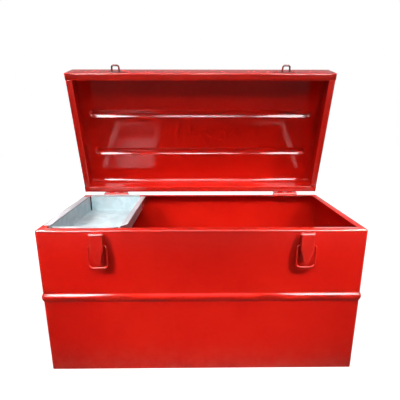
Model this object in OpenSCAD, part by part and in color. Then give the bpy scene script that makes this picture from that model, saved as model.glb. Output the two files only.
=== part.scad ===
// Sheet-steel tool chest with a hinged lid, two wire-bail draw latches, two drop handles
// and a lift-out tray that hangs and slides on the folded rims.
// Origin: middle of the floor's underside. +X right, -Y towards the user, +Z up.

/* [Chest body] */
// Width over the end panels
body_w = 508; // [420:1:640]
// Depth over the front and back panels
body_d = 246; // [200:1:320]
// Height from the floor to the rim
body_h = 248; // [190:1:340]
// Thickness of the chest and lid sheet
sheet_t = 0.9; // [0.6:0.1:1.6]
// Inside radius of the folds at the rims and the floor
fold_r = 1.6; // [0.8:0.1:3]
// Width of the rim folded in round the mouth
rim_w = 12.7; // [9:0.1:16]
// Height of the edge folded up round the floor
floor_edge_h = 12; // [8:1:24]
// Radius of the relief cut at each corner of the floor
floor_relief_r = 3.2; // [3:0.1:6]

/* [Bead round the body] */
// How far the middle of the bead round the walls lies under the rim
bead_under_rim = 113.5; // [100:0.5:130]
// Width of the bead over its rounded feet
bead_w = 16.6; // [8:0.1:24]
// How far the bead stands out
bead_rise = 2.6; // [1:0.1:3.6]
// Share of the bead's curve that belongs to its crest
bead_crest = 0.69; // [0.5:0.01:0.8]

/* [Lid] */
// Depth of the lid from its rim to its top
lid_h = 58; // [46:1:90]
// Outside radius of the long top edges
lid_edge_r = 10; // [4:0.5:16]
// Gap between the rims when the lid is shut
lid_gap = 1.6; // [1.5:0.1:3]
// Angle at which the lid is drawn
lid_open = 75.7; // [0:0.1:110]
// Distance from the rear of the lid to the first swage
swage_1 = 74; // [45:1:90]
// Distance from the rear of the lid to the second swage
swage_2 = 157; // [120:1:180]
// Width of each swage
swage_w = 18; // [10:0.5:26]
// How far each swage stands out
swage_rise = 2.6; // [1:0.1:3.6]
// Plain strip left between a swage and the end of the lid
swage_end = 17; // [8:1:60]

/* [Hinges] */
// From the middle of a hinge to the nearer end of the chest
hinge_in = 68; // [45:1:150]
// Length of each hinge
hinge_len = 50; // [40:1:80]
// Number of knuckles on each hinge
knuckles = 5; // [3:2:7]
// Diameter of the hinge pin
hinge_pin_d = 4.6; // [3:0.1:6]
// Thickness of the hinge leaf
leaf_t = 1.8; // [1:0.1:2.5]
// Height of each leaf from the pin's centre
leaf_h = 27; // [20:1:34]

/* [Draw latches] */
// From the middle of a latch to the nearer end of the chest
latch_in = 94.5; // [60:0.5:190]
// Distance from the rim down to the lever's pivot
latch_drop = 6.1; // [5:0.1:14]
// Thickness of the latch sheet
latch_t = 1; // [0.8:0.1:1.4]
// Width of the lever
lever_w = 20; // [18:0.5:28]
// Width of the lever's rounded tip
lever_tip_w = 13; // [8:0.5:16]
// Length of the lever below its pivot
lever_len = 43; // [36:1:60]
// Outside radius of the lever's rolled top
lever_roll_r = 4.6; // [4.3:0.1:6]
// Diameter of the lever's pivot pin
lever_pin_d = 2.9; // [2:0.1:3.2]
// Width of the base plate below the lever
latch_base_w = 14; // [11:0.5:16]
// Length of the base plate below the pivot
latch_base_len = 54; // [46:1:70]
// Diameter of the bail wire
bail_d = 2.6; // [2:0.1:3.2]
// Width over the bail
bail_w = 31.3; // [29:0.1:44]
// Length of the bail from its pivot to the middle of its bar
bail_len = 36; // [33:0.5:46]
// Radius of the bends beside the bail's bar
bail_bar_r = 6.5; // [3:0.5:9]
// Distance from the lever's pivot down to the bail's pivot
bail_drop = 16.9; // [14:0.1:19]

/* [Strikes on the lid] */
// Width over the loop
strike_w = 17.5; // [14:0.5:24]
// How far the loop stands off the lid
strike_out = 14; // [11:0.5:18]
// Radius of the loop's bends
strike_corner_r = 4.5; // [2.5:0.1:5]
// Diameter of the loop wire
strike_d = 3.2; // [2:0.1:4]
// Length of the strike's plate
strike_plate_w = 46; // [40:1:70]
// Height of the strike's plate
strike_plate_h = 13; // [9:0.5:18]
// Thickness of the strike's plate
strike_plate_t = 1.2; // [0.8:0.1:2]
// How far the middle of the plate lies above the loop
strike_plate_up = 1; // [0:0.1:3]

/* [Drop handles] */
// How far the handle's pivot lies under the rim
handle_under_rim = 48; // [36:1:80]
// Width over the handle
handle_w = 104; // [80:1:140]
// Drop from the pivot to the middle of the grip
handle_drop = 38; // [30:1:44]
// Diameter of the handle's bar
handle_d = 6; // [4:0.5:8]
// Length of each clip along the bar
clip_len = 14; // [10:1:18]
// Thickness of the clips
clip_t = 1.5; // [1:0.1:2.5]

/* [Tray] */
// Length of the tray along the chest
tray_w = 111.4; // [90:0.1:200]
// Depth of the tray's trough
tray_h = 33; // [20:1:60]
// Thickness of the tray sheet
tray_t = 0.8; // [0.6:0.1:1.1]
// Inside radius of the tray's bottom folds
tray_fold_r = 2.5; // [1:0.5:6]
// Gap between the trough and the left rim's edge
tray_left_gap = 2.3; // [0.5:0.1:4]
// Gap between the trough and the front rim's edge
tray_front_gap = 3.8; // [0.5:0.1:4]
// Gap between the trough and the rear rim's edge
tray_rear_gap = 2.8; // [0.5:0.1:4]
// Width of the left flange
tray_left_flange = 12; // [8:0.5:13]
// Width of the front flange
tray_front_flange = 7.5; // [7:0.5:12]
// Width of the rear flange
tray_rear_flange = 13.5; // [8:0.5:14]
// Width of the right flange
tray_right_flange = 9.6; // [6:0.1:16]
// Width of the open slit at each upright corner
tray_slit_w = 2.6; // [1:0.1:4]
// Where the front flange begins, right of the trough's left wall
tray_front_start = 10; // [4:0.5:20]
// Where the slant begins on the front flange, left of the trough's right wall
tray_slant_x = 12.3; // [4:0.1:20]
// Where the slant ends on the right flange, behind the trough's front wall
tray_slant_y = 16.5; // [6:0.5:30]
// Corner cut of a side flange along the trough
tray_cut_in = 5; // [2:0.5:8]
// Corner cut of a side flange along its edge
tray_cut_out = 8; // [4:0.5:14]
// Width of the strip that joins the left and front flanges
tray_corner_w = 2.5; // [1:0.5:5]

/* [Rivets] */
// Diameter of a rivet's shank
rivet_d = 4; // [3:0.1:5]
// Diameter of a rivet's head
rivet_head_d = 7; // [5.5:0.1:9]
// Height of a rivet's head
rivet_head_h = 1.2; // [0.8:0.1:2]
// Height of the upset tail as a share of the head
rivet_tail = 0.7; // [0.5:0.1:1]

/* [Hidden] */
$fn = 64;

// Clearances shared by everything that fits together
seat_gap = 0.3;      // a piece resting on another
weld_gap = 0.1;      // two sheets welded face to face
running = 0.05;      // radial play of a pin or wire in its bore
swing_gap = 0.4;     // sheet parts swinging past each other
eps = 0.01;          // overlap of cutting tools
hole_reach = 5;      // half length of the tool that cuts rivet holes
pin_flare = 1;       // how far a pin's head stands out round its shank
head_gap = 0.15;     // a pin's head beside the sheet it holds
corner_flat = 0.5;   // flat of the rim between its fold and the centre of an upright corner
bead_break = 3;      // angle at which a bead's foot leaves the wall

red = [0.80, 0.07, 0.05];
zinc = [0.72, 0.78, 0.80];

// Folds and beads
fold_out_r = fold_r + sheet_t;
corner_steps = 8;    // steps in a millimetre, so that the turned corner ends exactly on its centre
corner_out_r = round((fold_out_r + corner_flat) * corner_steps) / corner_steps;
bead_z = body_h - bead_under_rim;
bead_turn = 2 * atan(2 * bead_rise / bead_w);
bead_crest_r = bead_crest * bead_w / 2 / sin(bead_turn);
bead_foot_r = (1 - bead_crest) * bead_w / 2 / sin(bead_turn);
swage_r = (swage_w * swage_w / 4 + swage_rise * swage_rise) / (2 * swage_rise);
bead_steps = 16;
foot_steps = 6;
fold_steps = 6;
edge_steps = 10;

// Hinges
hinge_x = body_w / 2 - hinge_in;
knuckle_r = hinge_pin_d / 2 + running + leaf_t;
hinge_off = knuckle_r + seat_gap;
knuckle_gap = 0.3;
knuckle_len = hinge_len / knuckles;
leaf_notch = knuckle_r + swing_gap;
hinge_rivet_pitch = hinge_len / 3;
hinge_rivet_drop = (leaf_notch + leaf_h) / 2;
pin_head_r = hinge_pin_d / 2 + pin_flare;
pin_head_t = 1;

// Latches, in a frame on the wall: X across, Y out of the wall, Z up from the lever's pivot
latch_x = body_w / 2 - latch_in;
latch_z = body_h - latch_drop;
latch_pivot_out = latch_t + swing_gap + lever_roll_r;
lever_face_in = lever_roll_r - latch_t;
lever_cheek_x = lever_w / 2 - latch_t;
lever_taper_z = bail_drop + 7;
lever_roll_end = 80;
lever_flange = 2;
lever_toe_y = 1.4;
lever_toe_z = 3.1;
ear_x = lever_cheek_x - swing_gap;
ear_r = lever_face_in - swing_gap;
ear_foot = 13;
ear_back_angle = 216;
ear_front_angle = -20;
lever_pin_head_r = lever_pin_d / 2 + pin_flare;
lever_pin_head_t = 0.8;
latch_rivet_up = 20;
latch_rivet_in = 6;
bail_corner_r = bail_w / 2 - bail_d / 2 - lever_w / 2 - swing_gap;
bail_end_x = lever_cheek_x - swing_gap;
latch_rivet_low = latch_base_len - latch_rivet_up;
latch_rivet_high = ear_foot + latch_rivet_in;

// Strikes: the loop lies just under the bail's bar when the bail stands up and the lid is shut
strike_slack = 0.6;
bail_bar_up = latch_z - bail_drop + bail_len;
strike_z = bail_bar_up - bail_d / 2 - strike_slack - strike_d / 2 - (body_h + lid_gap);
strike_plate_z = strike_z + strike_plate_up;
strike_rivet_x = (strike_plate_w - strike_plate_h) / 2;

// Handles, in a frame on the end panel: X across, Y out of the wall, Z up from the pivot
handle_z = body_h - handle_under_rim;
clip_bore_r = handle_d / 2 + running;
clip_r = clip_bore_r + clip_t;
handle_out = clip_bore_r + swing_gap;
handle_corner_r = 9;
clip_side_gap = 1;
handle_end_out = 3;
clip_x = handle_w / 2 - handle_d / 2 - handle_corner_r - clip_len / 2 - clip_side_gap;
handle_end_x = clip_x - clip_len / 2 - handle_end_out;
clip_tab = 9;
clip_rivet_z = clip_r + clip_tab / 2;

// Tray
tray_x0 = -body_w / 2 + rim_w + tray_left_gap;
tray_x1 = tray_x0 + tray_w;
tray_y0 = -body_d / 2 + rim_w + tray_front_gap;
tray_y1 = body_d / 2 - rim_w - tray_rear_gap;
tray_z1 = body_h + seat_gap + tray_t;
tray_z0 = tray_z1 - tray_h;
tray_rear_cut = 2;

// ---------- outlines ----------

// Points of an arc round [cx, cy] from angle a0 to a1
function arc(cx, cy, r, a0, a1, n) =
    [for (i = [0:n]) let (a = a0 + (a1 - a0) * i / n) [cx + r * cos(a), cy + r * sin(a)]];

// The same list from end to start
function flip(list) = [for (i = [len(list) - 1:-1:0]) list[i]];

// A bead that swells out of the wall line x = 0, seen d inside the outer surface: a foot, the crest
// and a foot, three arcs that run into each other
function bead_side(d) =
    let (inner_turn = bead_turn * (1 - 2 / bead_steps))
    concat(
        arc(bead_foot_r, bead_z - bead_w / 2, bead_foot_r + d, 180 - bead_break, 180 - bead_turn, foot_steps),
        arc(bead_rise - bead_crest_r, bead_z, bead_crest_r - d, -inner_turn, inner_turn, bead_steps - 2),
        arc(bead_foot_r, bead_z + bead_w / 2, bead_foot_r + d, 180 + bead_turn, 180 + bead_break, foot_steps)
    );

// One side of the body wall, d inside its outer surface: foot, bead, fold, and the rim's width
function wall_side(d, rim) = concat(
    [[-d, 0]],
    bead_side(d),
    arc(-fold_out_r, body_h - fold_out_r, fold_out_r - d, 0, 90, fold_steps),
    [[-rim, body_h - d]]
);

module wall_section(rim) {
    polygon(concat(wall_side(0, rim), flip(wall_side(sheet_t, rim))));
}

// One side of the lid's section, d inside its outer surface, from the front rim to the rear rim.
// X runs back from the lid's front face, Y up from its rim.
function lid_side(d) = concat(
    [[rim_w, d]],
    arc(fold_out_r, fold_out_r, fold_out_r - d, 270, 180, fold_steps),
    arc(lid_edge_r, lid_h - lid_edge_r, lid_edge_r - d, 180, 90, edge_steps),
    arc(body_d - lid_edge_r, lid_h - lid_edge_r, lid_edge_r - d, 90, 0, edge_steps),
    arc(body_d - fold_out_r, fold_out_r, fold_out_r - d, 0, -90, fold_steps),
    [[body_d - rim_w, d]]
);

module lid_section() {
    polygon(concat(lid_side(0), flip(lid_side(sheet_t))));
}

// Outline of the lid's end: square at the rim, round at the long top edges
module lid_end_outline() {
    polygon(concat(
        [[0, 0]],
        arc(lid_edge_r, lid_h - lid_edge_r, lid_edge_r, 180, 90, edge_steps),
        arc(body_d - lid_edge_r, lid_h - lid_edge_r, lid_edge_r, 90, 0, edge_steps),
        [[body_d, 0]]
    ));
}

// ---------- placing ----------

// Extrudes a section along X with its X axis turned to +Y and its Y axis to +Z
module along_x(length) {
    rotate([90, 0, 90])
        linear_extrude(length, center = true)
            children();
}

// Extrudes a section along Y with its X axis kept and its Y axis turned to +Z
module along_y(length) {
    rotate([90, 0, 0])
        linear_extrude(length, center = true)
            children();
}

// Frame on the front panel: X across, Y out of the wall
module on_front(x, z) {
    translate([x, -body_d / 2, z])
        mirror([0, 1, 0])
            children();
}

// Frame on the back panel at the hinge axis
module on_back(x) {
    translate([x, body_d / 2, body_h])
        children();
}

// Frame on an end panel (side -1 left, 1 right): X across, Y out of the wall
module on_end(side, z) {
    translate([side * body_w / 2, 0, z])
        rotate([0, 0, -90 * side])
            children();
}

// Lid frame: the origin is on the hinge axis, turned as the lid is drawn
module on_lid() {
    translate([0, body_d / 2 + hinge_off, body_h])
        rotate([-lid_open, 0, 0])
            children();
}

// Lid frame moved to the lid's lower front edge: Y runs back, Z up from the lid's rim
module on_lid_front(x, z) {
    on_lid()
        translate([x, -hinge_off - body_d, lid_gap + z])
            children();
}

// ---------- shared pieces ----------

// Cylinder along X from x0 to x1
module bar_x(r, x0, x1) {
    translate([x0, 0, 0])
        rotate([0, 90, 0])
            cylinder(r = r, h = x1 - x0);
}

// Rivet along Y through a stack from 0 to grip: domed head outside, upset tail inside
module rivet(grip) {
    tail_h = rivet_head_h * rivet_tail;
    head_r = (rivet_head_d * rivet_head_d / 4 + rivet_head_h * rivet_head_h) / (2 * rivet_head_h);
    rotate([-90, 0, 0]) {
        translate([0, 0, -tail_h])
            cylinder(r = rivet_d / 2 + tail_h, h = tail_h);
        cylinder(d = rivet_d, h = grip);
        translate([0, 0, grip])
            intersection() {
                translate([0, 0, rivet_head_h - head_r])
                    sphere(r = head_r);
                cylinder(d = rivet_head_d, h = rivet_head_h);
            }
    }
}

// Hole for a rivet along Y, through every sheet near y = 0
module rivet_hole() {
    rotate([-90, 0, 0])
        cylinder(r = rivet_d / 2 + running, h = 2 * hole_reach, center = true);
}

// Quarter bend of round wire in the XZ plane, from +X round to +Z
module wire_bend(bend_r, wire_r) {
    rotate([90, 0, 0])
        rotate_extrude(angle = 90)
            translate([bend_r, 0])
                circle(r = wire_r);
}

// Wire loop hanging from the X axis: two ends turned in on corner_r, two legs, and a bar turned on bar_r
module hanging_loop(width, drop, wire_r, corner_r, bar_r, end_x) {
    leg_x = width / 2 - wire_r;
    for (side = [0, 1])
        mirror([side, 0, 0]) {
            bar_x(wire_r, end_x, leg_x - corner_r);
            translate([leg_x - corner_r, 0, -corner_r])
                wire_bend(corner_r, wire_r);
            translate([leg_x, 0, -drop + bar_r])
                cylinder(r = wire_r, h = drop - corner_r - bar_r);
            translate([leg_x - bar_r, 0, -drop + bar_r])
                mirror([0, 0, 1])
                    wire_bend(bar_r, wire_r);
        }
    translate([0, 0, -drop])
        bar_x(wire_r, -leg_x + bar_r, leg_x - bar_r);
}

// Solid block with its four bottom edges rounded, standing on z = 0
module round_bottom_block(width, depth, height, edge_r) {
    module section(length) {
        translate([-length / 2, edge_r])
            square([length, height - edge_r]);
        translate([-length / 2 + edge_r, 0])
            square([length - 2 * edge_r, edge_r + eps]);
        for (side = [-1, 1])
            translate([side * (length / 2 - edge_r), edge_r])
                circle(r = edge_r);
    }
    intersection() {
        along_x(width)
            section(depth);
        along_y(depth)
            section(width);
    }
}

// Folded sheet pan, open at the top, with closed corners
module sheet_pan(width, depth, height, t, inner_r) {
    difference() {
        round_bottom_block(width, depth, height, inner_r + t);
        translate([0, 0, t])
            round_bottom_block(width - 2 * t, depth - 2 * t, height, inner_r);
    }
}

// ---------- chest body ----------

// Wall whose outer face is y = 0. Its upright sheet turns half of each corner; the rim is mitred.
module wall(length) {
    corner_x = length / 2 - corner_out_r;
    reach = corner_out_r + bead_rise + 1;
    deep = rim_w + 1;
    intersection() {
        along_x(2 * corner_x)
            wall_section(rim_w);
        linear_extrude(body_h)
            polygon([
                [-length / 2 - reach, reach], [length / 2 + reach, reach],
                [length / 2 - deep, -deep], [-length / 2 + deep, -deep]
            ]);
    }
    for (end = [0, 1])
        mirror([end, 0, 0])
            translate([corner_x, -corner_out_r, 0])
                rotate([0, 0, 90])
                    mirror([0, 1, 0])
                        rotate_extrude(angle = 45)
                            translate([corner_out_r, 0])
                                wall_section(corner_out_r);
}

module front_panel() {
    color(red)
        difference() {
            translate([0, -body_d / 2, 0])
                mirror([0, 1, 0])
                    wall(body_w);
            for (side = [-1, 1], drop = [latch_rivet_low, latch_rivet_high])
                on_front(side * latch_x, latch_z - drop)
                    rivet_hole();
        }
}

module back_panel() {
    color(red)
        difference() {
            translate([0, body_d / 2, 0])
                wall(body_w);
            for (side = [-1, 1], i = [-1:1])
                on_back(side * hinge_x + i * hinge_rivet_pitch)
                    translate([0, 0, -hinge_rivet_drop])
                        rivet_hole();
        }
}

module end_panel(side) {
    color(red)
        difference() {
            translate([side * body_w / 2, 0, 0])
                rotate([0, 0, -90 * side])
                    wall(body_d);
            for (x = [-clip_x, clip_x], z = [-clip_rivet_z, clip_rivet_z])
                on_end(side, handle_z + z)
                    translate([x, 0, 0])
                        rivet_hole();
        }
}

module left_end_panel() {
    end_panel(-1);
}

module right_end_panel() {
    end_panel(1);
}

// Floor with its edges folded up inside the walls, relieved at the corners where the folds meet
module floor_pan() {
    width = body_w - 2 * (sheet_t + weld_gap);
    depth = body_d - 2 * (sheet_t + weld_gap);
    color(red)
        difference() {
            sheet_pan(width, depth, floor_edge_h, sheet_t, fold_r);
            for (x = [-width / 2, width / 2], y = [-depth / 2, depth / 2])
                translate([x, y, -1])
                    cylinder(r = floor_relief_r, h = floor_edge_h + 2);
        }
}

// ---------- hinges ----------

// Leaf hanging from the hinge axis against the wall y = 0, with knuckles number first, first + 2, ...
module hinge_leaf(first) {
    difference() {
        union() {
            translate([-hinge_len / 2, seat_gap, -leaf_h])
                cube([hinge_len, leaf_t, leaf_h - leaf_notch]);
            for (i = [first:2:knuckles - 1]) {
                x0 = -hinge_len / 2 + i * knuckle_len + (i > 0 ? knuckle_gap / 2 : 0);
                x1 = -hinge_len / 2 + (i + 1) * knuckle_len - (i < knuckles - 1 ? knuckle_gap / 2 : 0);
                translate([x0, seat_gap, -leaf_notch - eps])
                    cube([x1 - x0, leaf_t, leaf_notch + eps]);
                translate([0, hinge_off, 0])
                    bar_x(knuckle_r, x0, x1);
            }
        }
        translate([0, hinge_off, 0])
            bar_x(hinge_pin_d / 2 + running, -hinge_len, hinge_len);
        for (i = [-1:1])
            translate([i * hinge_rivet_pitch, 0, -hinge_rivet_drop])
                rivet_hole();
    }
}

module hinge_body_leaf(side) {
    color(red)
        on_back(side * hinge_x)
            hinge_leaf(0);
}

module hinge_left_body_leaf() {
    hinge_body_leaf(-1);
}

module hinge_right_body_leaf() {
    hinge_body_leaf(1);
}

module hinge_lid_leaf(side) {
    color(red)
        on_lid()
            translate([side * hinge_x, -hinge_off, 0])
                mirror([0, 0, 1])
                    hinge_leaf(1);
}

module hinge_left_lid_leaf() {
    hinge_lid_leaf(-1);
}

module hinge_right_lid_leaf() {
    hinge_lid_leaf(1);
}

module hinge_pin(side) {
    half = hinge_len / 2 + knuckle_gap;
    color(red)
        on_back(side * hinge_x)
            translate([0, hinge_off, 0]) {
                bar_x(hinge_pin_d / 2, -half, half);
                bar_x(pin_head_r, -half - pin_head_t, -half);
                bar_x(pin_head_r, half, half + pin_head_t);
            }
}

module hinge_left_pin() {
    hinge_pin(-1);
}

module hinge_right_pin() {
    hinge_pin(1);
}

// Six rivets through one wall and the leaves outside it
module hinge_rivets() {
    for (side = [-1, 1], i = [-1:1])
        translate([side * hinge_x + i * hinge_rivet_pitch, -sheet_t, -hinge_rivet_drop])
            rivet(sheet_t + seat_gap + leaf_t);
}

module hinge_body_rivets() {
    color(red)
        on_back(0)
            hinge_rivets();
}

module hinge_lid_rivets() {
    color(red)
        on_lid()
            translate([0, -hinge_off, 0])
                mirror([0, 0, 1])
                    hinge_rivets();
}

// ---------- draw latches ----------

// Flat plate in the XZ plane from y to y + t
module plate_xz(y, t) {
    translate([0, y + t, 0])
        rotate([90, 0, 0])
            linear_extrude(t)
                children();
}

// Flat plate in the YZ plane from x to x + t
module plate_yz(x, t) {
    translate([x, 0, 0])
        rotate([90, 0, 90])
            linear_extrude(t)
                children();
}

// Base plate against the wall, with two ears that carry the lever's pin
module latch_base(side) {
    color(red)
        on_front(side * latch_x, latch_z)
            difference() {
                union() {
                    plate_xz(weld_gap, latch_t - weld_gap) {
                        translate([-latch_base_w / 2, -latch_base_len + latch_base_w / 2])
                            square([latch_base_w, latch_base_len - latch_base_w / 2 - ear_foot + eps]);
                        translate([0, -latch_base_len + latch_base_w / 2])
                            circle(d = latch_base_w);
                        translate([-ear_x, -ear_foot])
                            square([2 * ear_x, ear_foot - ear_r]);
                    }
                    for (x = [-ear_x, ear_x - latch_t])
                        translate([0, latch_pivot_out, 0])
                            plate_yz(x, latch_t) {
                                circle(r = ear_r);
                                polygon([
                                    [ear_r * cos(ear_back_angle), ear_r * sin(ear_back_angle)],
                                    [-latch_pivot_out + weld_gap, -ear_r - swing_gap],
                                    [-latch_pivot_out + weld_gap, -ear_foot],
                                    [-latch_pivot_out + latch_t, -ear_foot],
                                    [ear_r * cos(ear_front_angle), ear_r * sin(ear_front_angle)]
                                ]);
                            }
                }
                translate([0, latch_pivot_out, 0])
                    bar_x(lever_pin_d / 2 + running, -lever_w, lever_w);
                for (drop = [latch_rivet_low, latch_rivet_high])
                    translate([0, 0, -drop])
                        rivet_hole();
            }
}

module latch_left_base() {
    latch_base(-1);
}

module latch_right_base() {
    latch_base(1);
}

module latch_pin(side) {
    half = lever_w / 2 + head_gap;
    color(red)
        on_front(side * latch_x, latch_z)
            translate([0, latch_pivot_out, 0]) {
                bar_x(lever_pin_d / 2, -half, half);
                bar_x(lever_pin_head_r, -half - lever_pin_head_t, -half);
                bar_x(lever_pin_head_r, half, half + lever_pin_head_t);
            }
}

module latch_left_pin() {
    latch_pin(-1);
}

module latch_right_pin() {
    latch_pin(1);
}

module latch_rivets() {
    color(red)
        for (side = [-1, 1], drop = [latch_rivet_low, latch_rivet_high])
            on_front(side * latch_x, latch_z - drop)
                translate([0, -sheet_t, 0])
                    rivet(sheet_t + latch_t);
}

// Channel-shaped lever: face plate with a rounded tip, rolled top and two cheeks
module latch_lever(side) {
    tip_r = lever_tip_w / 2;
    color(red)
        on_front(side * latch_x, latch_z)
            translate([0, latch_pivot_out, 0])
                difference() {
                    union() {
                        plate_xz(lever_face_in, latch_t) {
                            polygon([
                                [-lever_w / 2, 0], [lever_w / 2, 0],
                                [lever_w / 2, -lever_taper_z], [tip_r, -lever_len + tip_r],
                                [-tip_r, -lever_len + tip_r], [-lever_w / 2, -lever_taper_z]
                            ]);
                            translate([0, -lever_len + tip_r])
                                circle(r = tip_r);
                        }
                        intersection() {
                            difference() {
                                bar_x(lever_roll_r, -lever_w / 2, lever_w / 2);
                                bar_x(lever_face_in, -lever_w, lever_w);
                            }
                            plate_yz(-lever_w / 2, lever_w)
                                polygon([
                                    [0, 0], [2 * lever_roll_r, 0], [2 * lever_roll_r, 2 * lever_roll_r],
                                    [2 * lever_roll_r / tan(lever_roll_end), 2 * lever_roll_r]
                                ]);
                        }
                        for (x = [-lever_w / 2, lever_cheek_x])
                            plate_yz(x, latch_t) {
                                circle(r = lever_roll_r);
                                polygon([
                                    [-lever_roll_r, 0], [lever_roll_r, 0],
                                    [lever_roll_r, -lever_taper_z],
                                    [lever_face_in - lever_flange, -lever_taper_z],
                                    [-lever_roll_r + lever_toe_y, -bail_drop - lever_toe_z],
                                    [-lever_roll_r, -bail_drop]
                                ]);
                            }
                    }
                    bar_x(lever_pin_d / 2 + running, -lever_w, lever_w);
                    translate([0, 0, -bail_drop])
                        bar_x(bail_d / 2 + running, -lever_w, lever_w);
                }
}

module latch_left_lever() {
    latch_lever(-1);
}

module latch_right_lever() {
    latch_lever(1);
}

module latch_bail(side) {
    color(red)
        on_front(side * latch_x, latch_z - bail_drop)
            translate([0, latch_pivot_out, 0])
                hanging_loop(bail_w, bail_len, bail_d / 2, bail_corner_r, bail_bar_r, bail_end_x);
}

module latch_left_bail() {
    latch_bail(-1);
}

module latch_right_bail() {
    latch_bail(1);
}

// ---------- lid ----------

// Capsule along X: the tool that presses a swage
module capsule_x(r, half) {
    bar_x(r, -half, half);
    for (x = [-half, half])
        translate([x, 0, 0])
            sphere(r = r);
}

// Front, top and rear of the lid, folded from one sheet, with two swages pressed up into the top
module lid_shell() {
    shell_w = body_w - 2 * sheet_t - 2 * weld_gap;
    swage_half = body_w / 2 - swage_end - swage_w / 2;
    color(red)
        on_lid_front(0, 0)
            difference() {
                union() {
                    along_x(shell_w)
                        lid_section();
                    for (s = [swage_1, swage_2])
                        intersection() {
                            translate([0, body_d - s, lid_h + swage_rise - swage_r])
                                capsule_x(swage_r, swage_half);
                            translate([-body_w / 2, body_d - s - swage_w, lid_h - sheet_t])
                                cube([body_w, 2 * swage_w, 2 * swage_rise]);
                        }
                }
                for (s = [swage_1, swage_2])
                    translate([0, body_d - s, lid_h + swage_rise - swage_r])
                        capsule_x(swage_r - sheet_t, swage_half);
                for (side = [-1, 1], x = [-strike_rivet_x, strike_rivet_x])
                    translate([side * latch_x + x, 0, strike_plate_z])
                        rivet_hole();
                for (side = [-1, 1], i = [-1:1])
                    translate([side * hinge_x + i * hinge_rivet_pitch, body_d, hinge_rivet_drop - lid_gap])
                        rivet_hole();
            }
}

// Flat end of the lid, its lower edge folded in between the front and rear rims
module lid_end(side) {
    rim_length = body_d - 2 * rim_w - 2 * weld_gap;
    color(red)
        on_lid_front(side * body_w / 2, 0)
            mirror([side < 0 ? 1 : 0, 0, 0])
                difference() {
                    union() {
                        plate_yz(-sheet_t, sheet_t)
                            lid_end_outline();
                        translate([0, body_d / 2, 0])
                            along_y(rim_length)
                                polygon(concat(
                                    [[-rim_w, 0]],
                                    arc(-fold_out_r, fold_out_r, fold_out_r, -90, 0, fold_steps),
                                    arc(-fold_out_r, fold_out_r, fold_r, 0, -90, fold_steps),
                                    [[-rim_w, sheet_t]]
                                ));
                    }
                    translate([0, body_d / 2, 0])
                        along_y(rim_length)
                            difference() {
                                translate([-fold_out_r, -1])
                                    square([fold_out_r + 1, fold_out_r + 1]);
                                translate([-fold_out_r, fold_out_r])
                                    circle(r = fold_out_r);
                            }
                }
}

module lid_left_end() {
    lid_end(-1);
}

module lid_right_end() {
    lid_end(1);
}

// Wire loop in the XY plane that stands on y = foot_y
module strike_loop(foot_y) {
    bar_y = strike_out - strike_d / 2;
    leg_x = strike_w / 2 - strike_d / 2;
    bend_x = leg_x - strike_corner_r;
    bend_y = bar_y - strike_corner_r;
    translate([0, bar_y, 0])
        bar_x(strike_d / 2, -bend_x, bend_x);
    for (end = [0, 1])
        mirror([end, 0, 0]) {
            translate([bend_x, bend_y, 0])
                rotate_extrude(angle = 90)
                    translate([strike_corner_r, 0])
                        circle(d = strike_d);
            translate([leg_x, foot_y, 0])
                rotate([-90, 0, 0])
                    cylinder(d = strike_d, h = bend_y - foot_y);
        }
}

// Strike: a plate riveted to the lid's front with a wire loop welded to it
module strike(side) {
    color(red)
        on_lid_front(side * latch_x, strike_plate_z)
            mirror([0, 1, 0])
                difference() {
                    union() {
                        plate_xz(weld_gap, strike_plate_t - weld_gap) {
                            square([2 * strike_rivet_x, strike_plate_h], center = true);
                            for (x = [-strike_rivet_x, strike_rivet_x])
                                translate([x, 0])
                                    circle(d = strike_plate_h);
                        }
                        translate([0, 0, -strike_plate_up])
                            strike_loop(strike_plate_t / 2);
                    }
                    for (x = [-strike_rivet_x, strike_rivet_x])
                        translate([x, 0, 0])
                            rivet_hole();
                }
}

module strike_left() {
    strike(-1);
}

module strike_right() {
    strike(1);
}

module strike_rivets() {
    color(red)
        for (side = [-1, 1], x = [-strike_rivet_x, strike_rivet_x])
            on_lid_front(side * latch_x + x, strike_plate_z)
                mirror([0, 1, 0])
                    translate([0, -sheet_t, 0])
                        rivet(sheet_t + strike_plate_t);
}

// ---------- drop handles ----------

// Two clips that trap the turned-in ends of the handle's bar against the end panel
module handle_clips(side) {
    tab_half = clip_r + clip_tab;
    color(red)
        on_end(side, handle_z)
            for (x = [-clip_x, clip_x])
                translate([x - clip_len / 2, 0, 0])
                    difference() {
                        union() {
                            intersection() {
                                translate([0, handle_out, 0])
                                    bar_x(clip_r, 0, clip_len);
                                translate([0, weld_gap, -clip_r])
                                    cube([clip_len, 2 * clip_r, 2 * clip_r]);
                            }
                            translate([0, weld_gap, -tab_half])
                                cube([clip_len, clip_t, 2 * tab_half]);
                        }
                        translate([0, handle_out, 0])
                            bar_x(clip_bore_r, -1, clip_len + 1);
                        translate([-1, -1, -clip_bore_r])
                            cube([clip_len + 2, 1 + handle_out, 2 * clip_bore_r]);
                        for (z = [-clip_rivet_z, clip_rivet_z])
                            translate([clip_len / 2, 0, z])
                                rivet_hole();
                    }
}

module handle_left_clips() {
    handle_clips(-1);
}

module handle_right_clips() {
    handle_clips(1);
}

module handle_rivets() {
    color(red)
        for (side = [-1, 1], x = [-clip_x, clip_x], z = [-clip_rivet_z, clip_rivet_z])
            on_end(side, handle_z + z)
                translate([x, -sheet_t, 0])
                    rivet(sheet_t + weld_gap + clip_t);
}

module handle_bar(side) {
    color(red)
        on_end(side, handle_z)
            translate([0, handle_out, 0])
                hanging_loop(
                    handle_w, handle_drop, handle_d / 2, handle_corner_r, handle_corner_r, handle_end_x
                );
}

module handle_left_bar() {
    handle_bar(-1);
}

module handle_right_bar() {
    handle_bar(1);
}

// ---------- tray ----------

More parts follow.
